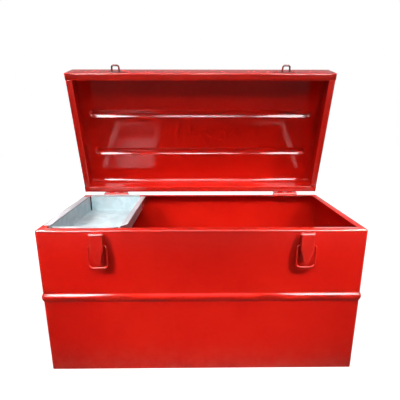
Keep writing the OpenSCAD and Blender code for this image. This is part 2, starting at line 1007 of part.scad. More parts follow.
// Flange round the trough: every corner is cut away, the front right one on a long slant
module tray_flange_outline() {
    slit = tray_t + tray_slit_w;
    polygon([
        [tray_x0 + tray_front_start, tray_y0 - tray_front_flange],
        [tray_x1 - tray_slant_x, tray_y0 - tray_front_flange],
        [tray_x1 + tray_right_flange, tray_y0 + tray_slant_y],
        [tray_x1 + tray_right_flange, tray_y1 - tray_cut_out],
        [tray_x1, tray_y1 - tray_cut_in],
        [tray_x1, tray_y1],
        [tray_x1 - slit, tray_y1],
        [tray_x1 - slit - tray_rear_cut, tray_y1 + tray_rear_flange],
        [tray_x0 + slit + tray_rear_cut, tray_y1 + tray_rear_flange],
        [tray_x0 + slit, tray_y1],
        [tray_x0, tray_y1],
        [tray_x0, tray_y1 - tray_cut_in],
        [tray_x0 - tray_left_flange, tray_y1 - tray_cut_out],
        [tray_x0 - tray_left_flange, tray_y0 + tray_cut_out],
        [tray_x0 - tray_cut_in, tray_y0 + tray_cut_in],
        [tray_x0 + tray_front_start, tray_y0 - tray_corner_w]
    ]);
}

module tray() {
    middle = [(tray_x0 + tray_x1) / 2, (tray_y0 + tray_y1) / 2];
    depth = tray_y1 - tray_y0;
    slit_z = tray_z0 + tray_t + tray_fold_r;
    color(zinc)
        difference() {
            union() {
                translate([middle.x, middle.y, tray_z0])
                    sheet_pan(tray_w, depth, tray_h, tray_t, tray_fold_r);
                difference() {
                    translate([0, 0, tray_z1 - tray_t])
                        linear_extrude(tray_t)
                            tray_flange_outline();
                    translate([tray_x0 + tray_t, tray_y0 + tray_t, tray_z0])
                        cube([tray_w - 2 * tray_t, depth - 2 * tray_t, 2 * tray_h]);
                }
            }
            for (x = [tray_x0 + tray_t, tray_x1 - tray_t - tray_slit_w], y = [tray_y0, tray_y1 - tray_t])
                translate([x, y - eps, slit_z])
                    cube([tray_slit_w, tray_t + 2 * eps, tray_h]);
        }
}

// ---------- nodes ----------

front_panel();
back_panel();
left_end_panel();
right_end_panel();
floor_pan();
hinge_left_body_leaf();
hinge_right_body_leaf();
hinge_left_pin();
hinge_right_pin();
hinge_body_rivets();
latch_left_base();
latch_right_base();
latch_left_pin();
latch_right_pin();
latch_rivets();
handle_left_clips();
handle_right_clips();
handle_rivets();
lid_shell();
lid_left_end();
lid_right_end();
hinge_left_lid_leaf();
hinge_right_lid_leaf();
hinge_lid_rivets();
strike_left();
strike_right();
strike_rivets();
latch_left_lever();
latch_right_lever();
latch_left_bail();
latch_right_bail();
handle_left_bar();
handle_right_bar();
tray();
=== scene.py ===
import bpy
import numpy as np
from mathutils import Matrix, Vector
from mathutils.geometry import tessellate_polygon


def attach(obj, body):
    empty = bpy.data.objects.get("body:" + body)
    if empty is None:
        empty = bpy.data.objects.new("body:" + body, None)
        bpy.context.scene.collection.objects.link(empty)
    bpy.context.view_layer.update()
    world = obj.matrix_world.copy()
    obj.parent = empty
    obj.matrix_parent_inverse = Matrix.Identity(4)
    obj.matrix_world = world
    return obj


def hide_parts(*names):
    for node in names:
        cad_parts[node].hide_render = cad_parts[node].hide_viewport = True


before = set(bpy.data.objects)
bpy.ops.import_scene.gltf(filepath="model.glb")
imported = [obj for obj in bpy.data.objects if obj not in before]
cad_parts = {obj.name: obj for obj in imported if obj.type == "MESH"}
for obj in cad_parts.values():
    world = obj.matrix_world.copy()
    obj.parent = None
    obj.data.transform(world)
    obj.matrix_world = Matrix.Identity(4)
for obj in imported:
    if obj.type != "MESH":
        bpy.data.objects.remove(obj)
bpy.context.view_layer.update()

# ---------- Stage ----------
# The chest stands on the front of a white paper sweep; in front of it the studio floor is darker. A large
# soft box hangs above, two narrow lamps at each side reach the front and the inside, one lights the lid,
# three cards only show as streaks in the gloss, and two boxes behind light the back.

chest_w, chest_d, chest_h = 0.508, 0.246, 0.248
front_y, back_y = -chest_d / 2, chest_d / 2


def soft_box(name, place, target, size, watts, beam=180, card=False):
    """Rectangular area lamp at place, facing target; beam is its spread in degrees. A card only shows in the
    gloss and lights nothing else."""
    lamp = bpy.data.lights.new(name, "AREA")
    lamp.shape = "RECTANGLE"
    lamp.size, lamp.size_y = size
    lamp.energy = watts
    lamp.spread = np.radians(beam)
    obj = bpy.data.objects.new(name, lamp)
    bpy.context.collection.objects.link(obj)
    obj.location = place
    obj.rotation_euler = (Vector(place) - Vector(target)).to_track_quat("Z", "Y").to_euler()
    obj.visible_diffuse = not card


scene = bpy.context.scene
scene.view_settings.view_transform = "Standard"

eye_place = (-0.0061, -0.6218, 0.4147)
eye_down, eye_turn = 15.5, -0.6
eye = bpy.data.cameras.new("camera")
eye.sensor_width = 36
eye.lens = 31.19
eye.shift_x = -0.004
eye.shift_y = 0.030
eye_obj = bpy.data.objects.new("camera", eye)
bpy.context.collection.objects.link(eye_obj)
eye_obj.location = eye_place
eye_obj.rotation_euler = np.radians((90 - eye_down, 0, eye_turn))
scene.camera = eye_obj

soft_box("overhead_box", (0.0, -0.55, 1.45), (0.0, -0.02, 0.18), size=(0.9, 0.4), watts=13.5)
for side, card_w in ((-1, 0.30), (1, 0.40)):
    key_at, key_to = (side * 0.68, -0.56, 0.96), (side * 0.14, front_y, 0.10)
    soft_box("side_key", key_at, key_to, size=(0.16, 0.16), watts=0.52, beam=28)
    card_at, card_to = (side * 0.56, -1.00, 0.80), (side * 0.10, -0.12, 0.18)
    soft_box("side_card", card_at, card_to, size=(card_w, 0.90), watts=29, card=True)
    fill_at, fill_to = (side * 0.60, -0.30, 0.80), (side * 0.05 + 0.05, back_y, 0.17)
    soft_box("side_fill", fill_at, fill_to, size=(0.12, 0.12), watts=0.135, beam=25)
soft_box("lid_fill", (0.0, -1.10, 0.95), (0.0, 0.20, 0.385), size=(0.5, 0.2), watts=0.17, beam=20)
soft_box("centre_card", (0.0, -1.10, 0.80), (0.0, -0.12, 0.18), size=(0.55, 0.90), watts=2.0, card=True)
for side in (-1, 1):
    soft_box("rear_box", (side * 1.05, 0.95, 1.30), (0.0, 0.14, 0.22), size=(0.6, 0.6), watts=11)


def maths(tree, operation, a, b):
    """One arithmetic step on two sockets or numbers."""
    node = tree.nodes.new("ShaderNodeMath")
    node.operation = operation
    for value, socket in zip((a, b), node.inputs):
        if isinstance(value, (int, float)):
            socket.default_value = value
        else:
            tree.links.new(value, socket)
    return node.outputs[0]


def fade(tree, value, low, high, at_low=0.0, at_high=1.0, curve="LINEAR"):
    """Maps value from low..high to at_low..at_high, in a straight line or a SMOOTHSTEP, held at both ends."""
    remap = tree.nodes.new("ShaderNodeMapRange")
    remap.interpolation_type = curve
    for socket, number in zip(("From Min", "From Max", "To Min", "To Max"), (low, high, at_low, at_high)):
        remap.inputs[socket].default_value = number
    tree.links.new(value, remap.inputs["Value"])
    return remap.outputs["Result"]


def coordinate(tree, kind, component):
    """One component of a texture coordinate."""
    split = tree.nodes.new("ShaderNodeSeparateXYZ")
    tree.links.new(tree.nodes.new("ShaderNodeTexCoord").outputs[kind], split.inputs[0])
    return split.outputs[component]


def by_ray(tree, direct, mirrored):
    """direct for camera and transmission rays, mirrored for glossy rays, 0 for the light on other things."""
    path = tree.nodes.new("ShaderNodeLightPath")
    clear = maths(tree, "MAXIMUM", path.outputs["Is Camera Ray"], path.outputs["Is Transmission Ray"])
    gloss = maths(tree, "MULTIPLY", path.outputs["Is Glossy Ray"], mirrored)
    return maths(tree, "ADD", maths(tree, "MULTIPLY", clear, direct), gloss)


# The backdrop is plain white to the eye. Its mirror image is brightest behind the chest and low down.
world = bpy.data.worlds.new("studio")
scene.world = world
world.use_nodes = True
tree = world.node_tree
tree.nodes.clear()
ambient = tree.nodes.new("ShaderNodeBackground")
ambient.inputs["Color"].default_value = (1.0, 0.98, 0.97, 1)
ambient.inputs["Strength"].default_value = 0.07
white = tree.nodes.new("ShaderNodeBackground")
white.inputs["Color"].default_value = (1, 1, 1, 1)
rear = fade(tree, coordinate(tree, "Generated", "Y"), -0.25, 0.10, 0.05, 1.0, "SMOOTHSTEP")
low = fade(tree, coordinate(tree, "Generated", "Z"), 0.12, 0.30, 1.0, 0.32, "SMOOTHSTEP")
tree.links.new(by_ray(tree, 1.0, maths(tree, "MULTIPLY", rear, low)), white.inputs["Strength"])
path = tree.nodes.new("ShaderNodeLightPath")
seen = maths(tree, "MAXIMUM", path.outputs["Is Camera Ray"], path.outputs["Is Glossy Ray"])
seen = maths(tree, "MAXIMUM", seen, path.outputs["Is Transmission Ray"])
blend = tree.nodes.new("ShaderNodeMixShader")
out = tree.nodes.new("ShaderNodeOutputWorld")
tree.links.new(seen, blend.inputs[0])
tree.links.new(ambient.outputs[0], blend.inputs[1])
tree.links.new(white.outputs[0], blend.inputs[2])
tree.links.new(blend.outputs[0], out.inputs["Surface"])

# The sweep is lit like any white paper, with most of its brightness given out, so that the
# shadow under the chest stays faint. Its mirror image is dark in front of the chest, as the studio
# floor is, and a little lighter far off.
paper = bpy.data.materials.new("paper")
paper.use_nodes = True
tree = paper.node_tree
tree.nodes.clear()
matt = tree.nodes.new("ShaderNodeBsdfDiffuse")
forward = coordinate(tree, "Object", "Y")
path = tree.nodes.new("ShaderNodeLightPath")
grey = fade(tree, forward, -0.16, -0.09, 0.02, 0.28, "SMOOTHSTEP")
for ray, value in (("Is Camera Ray", 0.25), ("Is Diffuse Ray", 0.15)):
    grey = maths(tree, "MAXIMUM", grey, maths(tree, "MULTIPLY", path.outputs[ray], value))
tree.links.new(grey, matt.inputs["Color"])
reach = tree.nodes.new("ShaderNodeVectorMath")
reach.operation = "LENGTH"
tree.links.new(tree.nodes.new("ShaderNodeTexCoord").outputs["Object"], reach.inputs[0])
clear = fade(tree, reach.outputs["Value"], 0.40, 0.75, 0.80, 1.0, "SMOOTHSTEP")
far = fade(tree, forward, -0.90, -0.62, 0.20, 0.02, "SMOOTHSTEP")
near = fade(tree, forward, -0.13, -0.085, 0.02, 0.80, "SMOOTHSTEP")
glow = tree.nodes.new("ShaderNodeEmission")
tree.links.new(by_ray(tree, clear, maths(tree, "MAXIMUM", far, near)), glow.inputs["Strength"])
total = tree.nodes.new("ShaderNodeAddShader")
out = tree.nodes.new("ShaderNodeOutputMaterial")
tree.links.new(matt.outputs[0], total.inputs[0])
tree.links.new(glow.outputs[0], total.inputs[1])
tree.links.new(total.outputs[0], out.inputs["Surface"])

sweep_half, sweep_z = 3, -0.0004
corners = [(x * sweep_half, y * sweep_half, sweep_z) for x, y in ((-1, -1), (1, -1), (1, 1), (-1, 1))]
sweep_mesh = bpy.data.meshes.new("sweep")
sweep_mesh.from_pydata(corners, [], [(0, 1, 2, 3)])
sweep_mesh.materials.append(paper)
sweep = bpy.data.objects.new("sweep", sweep_mesh)
bpy.context.collection.objects.link(sweep)

# ---------- Chest walls and floor ----------
# Front, back and two ends, each cut from 0.9 mm sheet, with a bead rolled round the middle and the top edge
# folded in as a rim. They are welded along their mitred corners and to the floor pan, and the whole chest is
# sprayed inside and out with gloss red enamel.

sheet_t = 0.0009
rim_w = 0.0127
fold_mid = 0.0016 + sheet_t / 2
corner_r, least_r = 0.0030, 0.00004
bead_z, bead_half, bead_rise = 0.1345, 0.0083, 0.0026
below_bead, above_bead = 0.06, 0.20


def noise(tree, vector, scale, detail, rough=0.5):
    """Noise texture on vector; scale is in waves per metre."""
    tex = tree.nodes.new("ShaderNodeTexNoise")
    tex.inputs["Scale"].default_value = scale
    tex.inputs["Detail"].default_value = detail
    tex.inputs["Roughness"].default_value = rough
    tree.links.new(vector, tex.inputs["Vector"])
    return tex.outputs["Fac"]


def bump(tree, height, metres, strength=1.0, under=None):
    """Bump from height, whose full range stands for that many metres, on top of the normal under."""
    node = tree.nodes.new("ShaderNodeBump")
    node.inputs["Strength"].default_value = strength
    node.inputs["Distance"].default_value = metres
    tree.links.new(height, node.inputs["Height"])
    if under is not None:
        tree.links.new(under, node.inputs["Normal"])
    return node.outputs["Normal"]


def mix_colour(tree, factor, a, b):
    """Colour a where factor is 0 and b where it is 1; each is a socket or an RGB triple."""
    node = tree.nodes.new("ShaderNodeMix")
    node.data_type = "RGBA"
    tree.links.new(factor, node.inputs[0])
    for value, socket in ((a, node.inputs[6]), (b, node.inputs[7])):
        if isinstance(value, tuple):
            socket.default_value = (*value, 1)
        else:
            tree.links.new(value, socket)
    return node.outputs[2]


# Enamel film: slow waves of the sheet under it, orange peel of the spray, thin spots and nibs of dust. The
# wear stored on each piece's points is where it chips and rubs thin.
film = bpy.data.node_groups.new("enamel_film", "ShaderNodeTree")
film.interface.new_socket("Dull", in_out="INPUT", socket_type="NodeSocketFloat")
for label in ("Tone", "Chip", "Rub", "Roughness"):
    film.interface.new_socket(label, in_out="OUTPUT", socket_type="NodeSocketFloat")
film.interface.new_socket("Normal", in_out="OUTPUT", socket_type="NodeSocketVector")
film_in, film_out = film.nodes.new("NodeGroupInput"), film.nodes.new("NodeGroupOutput")
place = film.nodes.new("ShaderNodeTexCoord").outputs["Object"]
worn = film.nodes.new("ShaderNodeAttribute")
worn.attribute_name = "wear"
wave = bump(film, noise(film, place, 9, 2), 0.0009, 0.35)
peel = bump(film, noise(film, place, 520, 2), 0.00004, 0.6, wave)
nibs = fade(film, noise(film, place, 1300, 0), 0.78, 0.86)
chips = maths(film, "MULTIPLY", worn.outputs["Fac"], noise(film, place, 420, 5, 0.65))
thin = fade(film, noise(film, place, 60, 4, 0.6), 0.3, 0.75)
gloss = fade(film, noise(film, place, 55, 5, 0.62), 0.3, 0.75, 0.05, 0.11)
film.links.new(fade(film, noise(film, place, 14, 4, 0.6), 0.3, 0.7), film_out.inputs["Tone"])
film.links.new(fade(film, chips, 0.58, 0.64), film_out.inputs["Chip"])
film.links.new(maths(film, "MULTIPLY", worn.outputs["Fac"], thin), film_out.inputs["Rub"])
film.links.new(maths(film, "ADD", gloss, film_in.outputs["Dull"]), film_out.inputs["Roughness"])
film.links.new(bump(film, nibs, 0.00006, 0.5, peel), film_out.inputs["Normal"])


def enamel(name, deep, bright, rubbed, dull=0.0):
    """Gloss enamel: deep and bright are its two tones, rubbed is its colour where it is thin on edges and
    bends, and dull is added to its roughness. Dark primer shows in the chips."""
    primer = (0.16, 0.10, 0.09)
    mat = bpy.data.materials.new(name)
    mat.use_nodes = True
    tree = mat.node_tree
    shader = tree.nodes["Principled BSDF"]
    coat = tree.nodes.new("ShaderNodeGroup")
    coat.node_tree = film
    coat.inputs["Dull"].default_value = dull
    colour = mix_colour(tree, coat.outputs["Tone"], deep, bright)
    colour = mix_colour(tree, coat.outputs["Rub"], colour, rubbed)
    colour = mix_colour(tree, coat.outputs["Chip"], colour, primer)
    tree.links.new(colour, shader.inputs["Base Color"])
    tree.links.new(coat.outputs["Roughness"], shader.inputs["Roughness"])
    tree.links.new(coat.outputs["Normal"], shader.inputs["Normal"])
    shader.inputs["IOR"].default_value = 1.42
    return mat


red_paint = enamel("red_paint", (0.60, 0.009, 0.004), (0.66, 0.012, 0.005), (0.70, 0.035, 0.020))


def fillet(points, radii, steps=8):
    """Polyline with its inner corners rounded: an arc's centre lies on the corner's bisector, radius over the
    sine of half the angle from the corner, and the arc runs between the two tangent points."""
    p = np.asarray(points, float)
    w = np.linspace(0, 1, steps + 1)[:, None]
    out = [p[:1]]
    for before, corner, after, r in zip(p[:-2], p[1:-1], p[2:], radii):
        a = (before - corner) / np.linalg.norm(before - corner)
        b = (after - corner) / np.linalg.norm(after - corner)
        half = np.arccos(np.clip(a @ b, -1, 1)) / 2
        centre = corner + (a + b) / np.linalg.norm(a + b) * r / np.sin(half)
        start = corner + a * r / np.tan(half) - centre
        end = corner + b * r / np.tan(half) - centre
        span = np.pi - 2 * half
        out.append(centre + (np.sin((1 - w) * span) * start + np.sin(w * span) * end) / np.sin(span))
    return np.concatenate(out + [p[-1:]])


def soften(line, t):
    """Adds points just inside both ends of a line, t/2 * (1 - cos a) from the end for a up to 90 degrees.
    Returns the line and the share of full thickness, sin a, at each point."""
    a = np.radians((8, 30, 58, 90))
    inset, share = (t / 2 * (1 - np.cos(a)))[:, None], np.sin(a)
    p = np.asarray(line, float)
    p = p[:, None] if p.ndim == 1 else p
    head = p[0] + inset * (p[1] - p[0]) / np.linalg.norm(p[1] - p[0])
    tail = p[-1] + inset * (p[-2] - p[-1]) / np.linalg.norm(p[-2] - p[-1])
    full = np.ones(len(p) - 2)
    line = np.squeeze(np.concatenate((head, p[1:-1], tail[::-1])))
    return line, np.concatenate((share, full, share[::-1]))


def sheet(middle, t, share_u=None, share_v=None):
    """Closed sheet over a grid of points (U, V, 3) on its middle surface. Each side lies half the thickness
    along the normal, du x dv; the thickness is t times the shares of the row and the column. Wear is 1 on the
    free edges and falls off as exp(-distance / wear_reach); bends get up to half of that."""
    wear_reach, bend_r = 0.0015, 0.003
    rows, cols = middle.shape[:2]
    share_u = np.ones(rows) if share_u is None else share_u
    share_v = np.ones(cols) if share_v is None else share_v
    normal = np.cross(np.gradient(middle, axis=0), np.gradient(middle, axis=1))
    normal /= np.linalg.norm(normal, axis=2, keepdims=True)
    offset = normal * (t / 2 * share_u[:, None] * share_v[None, :])[..., None]
    points = np.concatenate(((middle + offset).reshape(-1, 3), (middle - offset).reshape(-1, 3)))

    i = np.arange(rows * cols).reshape(rows, cols)
    front = np.stack((i[:-1, :-1], i[1:, :-1], i[1:, 1:], i[:-1, 1:]), -1).reshape(-1, 4)
    rim = np.concatenate((i[:, 0], i[-1, 1:], i[-2::-1, -1], i[0, -2:0:-1]))
    after = np.roll(rim, -1)
    far = rows * cols
    strip = np.stack((after, rim, rim + far, after + far), -1)
    faces = np.concatenate((front, front[:, ::-1] + far, strip))

    wear = np.zeros((rows, cols))
    for axis, share in ((0, share_u), (1, share_v)):
        step = np.linalg.norm(np.diff(middle, axis=axis), axis=2)
        run = np.cumsum(np.insert(step, 0, 0, axis=axis), axis=axis)
        back = np.take(run, [-1], axis=axis) - run
        if share[0] < 1:
            wear = np.maximum(wear, np.exp(-run / wear_reach))
        if share[-1] < 1:
            wear = np.maximum(wear, np.exp(-back / wear_reach))
        turn = np.linalg.norm(np.gradient(normal, axis=axis), axis=2)
        length = np.linalg.norm(np.gradient(middle, axis=axis), axis=2)
        wear = np.maximum(wear, 0.5 * np.clip(turn / length * bend_r, 0, 1))
    return points, faces.tolist(), np.tile(wear.ravel(), 2)


def piece(name, solids, node, body, material):
    """One object from closed solids (points, faces, wear), in place of a CAD node, with the given material. A
    solid whose signed volume, the sum of p0 . (p1 x p2) / 6 over its triangles, is negative has its faces
    turned round."""
    all_points, all_faces, all_wear, count = [], [], [], 0
    for points, faces, worn in solids:
        fan = np.array([(f[0], a, b) for f in faces for a, b in zip(f[1:-1], f[2:])])
        p0, p1, p2 = (points[fan[:, k]] for k in range(3))
        if np.einsum("ij,ij->", p0, np.cross(p1, p2)) < 0:
            faces = [f[::-1] for f in faces]
        all_faces += [[k + count for k in f] for f in faces]
        all_points.append(points)
        all_wear.append(worn)
        count += len(points)
    mesh = bpy.data.meshes.new(name)
    mesh.from_pydata(np.concatenate(all_points).tolist(), [], all_faces)
    wear = mesh.attributes.new("wear", "FLOAT", "POINT")
    wear.data.foreach_set("value", np.concatenate(all_wear).astype("f"))
    mesh.shade_smooth()
    mesh.set_sharp_from_angle(angle=np.radians(48))
    mesh.materials.append(material)
    obj = bpy.data.objects.new(name, mesh)
    bpy.context.collection.objects.link(obj)
    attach(obj, body)
    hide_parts(node)


def paint_cad(material, *nodes):
    """Gives CAD nodes that are kept as they are their finish."""
    for node in nodes:
        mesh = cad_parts[node].data
        mesh.materials.clear()
        mesh.materials.append(material)


def pressed(distance, half, rise, crest=0.6875):
    """Height of a pressed bead at a distance from its middle: an arc for the crest and one of the other hand
    for each foot, which meet at angle a with tan(a/2) = rise / half. crest is the crest arc's share of both
    radii."""
    a = 2 * np.arctan(rise / half)
    both = half / np.sin(a)
    top_r, foot_r = crest * both, (1 - crest) * both
    d = np.minimum(np.abs(distance), half)
    top = rise - top_r + np.sqrt(np.maximum(top_r**2 - d**2, 0))
    foot = foot_r - np.sqrt(np.maximum(foot_r**2 - (half - d) ** 2, 0))
    return np.where(d < top_r * np.sin(a), top, foot)


half_t = sheet_t / 2
bead_up = np.linspace(-bead_half, bead_half, 33)
wall_line = np.concatenate((
    [(-half_t, 0), (-half_t, below_bead)],
    np.column_stack((pressed(bead_up, bead_half, bead_rise) - half_t, bead_z + bead_up)),
    fillet([(-half_t, above_bead), (-half_t, chest_h - half_t), (-rim_w, chest_h - half_t)], [fold_mid], 10),
))
wall_line, wall_share = soften(wall_line, sheet_t)


def wall(length, depth, quarter):
    """Wall along a chest side: every point of the profile (d out, z up) runs straight to its corner and then
    an eighth of a turn round it, on radius corner_r + d, kept above zero. The wall is then turned about Z by
    that many quarters of a turn."""
    d, z = wall_line.T
    radius = np.maximum(corner_r + d, least_r)
    run = np.linspace(-1, 1, 15)
    turn = np.radians(np.linspace(0, 45, 7)[1:])
    straight = length / 2 + d - radius
    past = radius * np.sin(turn[:, None])
    along = np.concatenate((-straight - past[::-1], run[:, None] * straight, straight + past))
    bend = np.concatenate((turn[::-1], np.zeros(len(run)), turn))
    out = depth / 2 + d - radius + radius * np.cos(bend[:, None])
    c, s = np.round(np.cos(quarter * np.pi / 2)), np.round(np.sin(quarter * np.pi / 2))
    grid = np.stack((c * along + s * out, s * along - c * out, np.broadcast_to(z, along.shape)), -1)
    return sheet(grid, sheet_t, share_v=wall_share)


piece("front_wall", [wall(chest_w, chest_d, 0)], "front_panel", "chest", red_paint)
piece("right_wall", [wall(chest_d, chest_w, 1)], "right_end_panel", "chest", red_paint)
piece("back_wall", [wall(chest_w, chest_d, 2)], "back_panel", "chest", red_paint)
piece("left_wall", [wall(chest_d, chest_w, 3)], "left_end_panel", "chest", red_paint)
paint_cad(red_paint, "floor_pan")

# ---------- Lid ----------
# Front, top and rear folded from one sheet: rims folded in, long top edges rounded on 10 mm, and two
# swages with round ends pressed up into the top. Flat ends are welded on, their lower edge folded in.

lid_h, lid_gap, lid_open = 0.058, 0.0016, np.radians(75.7)
lid_top_r, lid_flat, lid_weld = 0.010, 0.020, 0.0003
swages = (chest_d - 0.157, chest_d - 0.074)
swage_half, swage_rise, swage_reach = 0.009, 0.0026, 0.228
fine, fine_from, fine_to = 0.0005, 0.020, 0.011  # step across a swage, and how far its end has close stations
end_foot_up, end_gap = 0.0025, 0.0001
pin_out = 0.00445
hinge_y = back_y + pin_out


def on_lid(points):
    """Turns points from the shut lid's frame (x across, y back from its front face, z up from its rim) to the
    open lid: moves them to the hinge axis, turns by the angle about X and moves on to where the axis is."""
    y = points[..., 1] - back_y - hinge_y
    z = points[..., 2] + lid_gap
    c, s = np.cos(lid_open), np.sin(lid_open)
    return np.stack((points[..., 0], hinge_y + y * c + z * s, chest_h - y * s + z * c), -1)


def refine(line, from_y, to_y, step):
    """Adds points at equal steps along the flat stretch of a profile between two y values."""
    k = np.flatnonzero((line[:-1, 0] <= from_y) & (line[1:, 0] >= to_y))[0]
    y = np.arange(from_y, to_y + step / 2, step)
    return np.concatenate((line[: k + 1], np.column_stack((y, np.full(len(y), line[k, 1]))), line[k + 1 :]))


lid_line = fillet(
    [(rim_w, half_t), (half_t, half_t), (half_t, lid_h - half_t), (chest_d - half_t, lid_h - half_t),
     (chest_d - half_t, half_t), (chest_d - rim_w, half_t)],
    [fold_mid, lid_top_r - half_t, lid_top_r - half_t, fold_mid], 12,
)
for y in swages:
    lid_line = refine(lid_line, y - swage_half - fine, y + swage_half + fine, fine)
lid_line, lid_share = soften(lid_line, sheet_t)
shell_half = chest_w / 2 - sheet_t + lid_weld
swage_end = np.linspace(swage_reach - fine_from, swage_reach + fine_to, 45)
lid_x = np.concatenate(([-shell_half], -swage_end[::-1], np.linspace(-0.2, 0.2, 11), swage_end, [shell_half]))
lid_x, across_share = soften(lid_x, sheet_t)
grid = np.empty((len(lid_x), len(lid_line), 3))
grid[..., 0] = lid_x[:, None]
grid[..., 1], grid[..., 2] = lid_line[:, 0], lid_line[:, 1]
top = (grid[0, :, 2] > lid_h - sheet_t) & (grid[0, :, 1] > lid_flat) & (grid[0, :, 1] < chest_d - lid_flat)
past_end = np.maximum(np.abs(lid_x) - swage_reach, 0)[:, None]
for y in swages:
    grid[:, top, 2] += pressed(np.hypot(past_end, lid_line[None, top, 0] - y), swage_half, swage_rise)
piece("lid_sheet", [sheet(on_lid(grid), sheet_t, across_share, lid_share)], "lid_shell", "lid", red_paint)


def plate(outline, t, lift, holes=()):
    """Flat plate with holes: rings of each outline, drawn back from the edge by t/2 * (1 - cos a) and raised
    by t/2 * sin a for a from 90 to -90 degrees, closed by the two flat faces. lift places (x, y, height) in
    space. Wear is 1 on the edges."""
    a = np.radians((90, 60, 35, 12, -12, -35, -60, -90))
    ring_wear = (0.15, 0.6, 1, 1, 1, 1, 0.6, 0.15)
    back, height = (t / 2 * (1 - np.cos(a)))[:, None, None], t / 2 * np.sin(a)
    loops, walls, tops, bottoms, count = [], [], [], [], 0
    for hole, line in enumerate((outline, *holes)):
        p = np.asarray(line, float)
        edge = np.roll(p, -1, 0) - p
        edge /= np.linalg.norm(edge, axis=1, keepdims=True)
        out = np.stack((edge[:, 1], -edge[:, 0]), -1)
        before = np.roll(out, 1, 0)
        corner = (out + before) / np.maximum(1 + np.sum(out * before, 1), 0.25)[:, None]
        area = np.sum(p[:, 0] * np.roll(p[:, 1], -1) - np.roll(p[:, 0], -1) * p[:, 1])
        rings = p[None] - back * corner[None] * np.sign(area) * (-1 if hole else 1)
        level = np.broadcast_to(height[:, None], rings.shape[:2])
        loops.append(np.concatenate((rings, level[..., None]), -1).reshape(-1, 3))
        i = count + np.arange(len(a) * len(p)).reshape(len(a), -1)
        j = np.roll(i, -1, 1)
        quads = np.stack((i[:-1], j[:-1], j[1:], i[1:]), -1).reshape(-1, 4)
        walls += (quads[:, ::-1] if (area < 0) != (hole > 0) else quads).tolist()
        tops.append(i[0])
        bottoms.append(i[-1])
        count += i.size
    flat = np.concatenate(loops)
    fill = np.array(tessellate_polygon([[tuple(q) for q in flat[top]] for top in tops]))
    top, bottom = (np.concatenate(side)[fill] for side in (tops, bottoms))
    x, y = (flat[top][..., k] for k in (0, 1))
    twice = (x[:, 1] - x[:, 0]) * (y[:, 2] - y[:, 0]) - (x[:, 2] - x[:, 0]) * (y[:, 1] - y[:, 0])
    turned = (twice < 0)[:, None]
    top, bottom = np.where(turned, top[:, ::-1], top), np.where(turned, bottom, bottom[:, ::-1])
    wear = np.concatenate([np.repeat(ring_wear, len(loop) // len(a)) for loop in loops])
    return lift(flat), [q[::-1] for q in walls] + top.tolist() + bottom.tolist(), wear


def lid_end(side):
    """End of the lid: a flat plate with round top corners, and the strip along its lower edge, folded in
    between the front and rear rims."""
    corners = fillet([(0, 0), (0, lid_h), (chest_d, lid_h), (chest_d, 0)], [lid_top_r, lid_top_r], 12)
    far_rim = chest_d - rim_w
    foot = [(far_rim, 0), (far_rim, end_foot_up), (rim_w, end_foot_up), (rim_w, 0)]
    x = side * (chest_w / 2 - half_t)
    lift = lambda q: on_lid(np.stack((x + q[..., 2] * side, q[..., 0], q[..., 1]), -1))
    flat = plate(np.concatenate((corners, foot)), sheet_t, lift)
    fold = fillet([(half_t, end_foot_up), (half_t, half_t), (rim_w, half_t)], [fold_mid], 10)
    fold, fold_share = soften(fold, sheet_t)
    fold_share[:4] = 1  # the strip runs on into the flat plate at full thickness
    y, y_share = soften(np.linspace(rim_w + end_gap, far_rim - end_gap, 7), sheet_t)
    strip = np.empty((len(y), len(fold), 3))
    strip[..., 0] = side * (chest_w / 2 - fold[:, 0])
    strip[..., 1], strip[..., 2] = y[:, None], fold[:, 1]
    return [flat, sheet(on_lid(strip), sheet_t, y_share, fold_share)]


piece("lid_end_left", lid_end(-1), "lid_left_end", "lid", red_paint)
piece("lid_end_right", lid_end(1), "lid_right_end", "lid", red_paint)

# ---------- Hinges ----------
# Butt hinges of 1.8 mm plate: each leaf's knuckles are curled round a steel pin. Both leaves are riveted
# on from outside and sprayed over with the chest, in a film a little duller than on the sheet.

hinge_x, hinge_len, knuckles = 0.186, 0.050, 5
leaf_t, leaf_gap, leaf_end, leaf_mid = 0.0018, 0.0003, 0.027, 0.016
curl_from, leaf_stop, knuckle_gap = 0.005, pin_out + 0.0001, 0.00015

red_hardware = enamel("red_hardware", (0.58, 0.010, 0.005), (0.68, 0.014, 0.006), (0.72, 0.05, 0.03), 0.13)


def leaf(side, first, place):
    """Leaf of strips side by side, hanging below the pin: those with a knuckle run up the leaf and then round
    the pin, the others stop short of it. The profile is a line and a 320 degree arc about the pin, and place
    puts (x, out, height over the pin) in space."""
    mid = leaf_gap + leaf_t / 2
    radius = pin_out - mid
    a = np.radians(np.linspace(180, -140, 33))
    curl = np.column_stack((pin_out + radius * np.cos(a), radius * np.sin(a)))
    solids = []
    for k in range(knuckles):
        x0, x1 = (-hinge_len / 2 + (k + n) * hinge_len / knuckles for n in (0, 1))
        if k % 2 == first:
            line = np.concatenate(([(mid, -leaf_end), (mid, -leaf_mid), (mid, -curl_from)], curl))
        else:
            line = np.array([(mid, -leaf_end), (mid, -leaf_mid), (mid, -leaf_stop)])
        line, share = soften(line, leaf_t)
        knuckle = line[:, 1] > -leaf_stop
        low = np.where(knuckle, x0 + (knuckle_gap if k > 0 else 0), x0)
        high = np.where(knuckle, x1 - (knuckle_gap if k < knuckles - 1 else 0), x1)
        f = np.linspace(0, 1, 5)[:, None]
        grid = np.empty((len(f), len(line), 3))
        grid[..., 0] = side * hinge_x + low + f * (high - low)
        grid[..., 1], grid[..., 2] = line[:, 0], line[:, 1]
        solids.append(sheet(place(grid), leaf_t, None, share))
    return solids


def behind(points):
    """Places a leaf's points against the back of the chest."""
    return points + (0, back_y, chest_h)


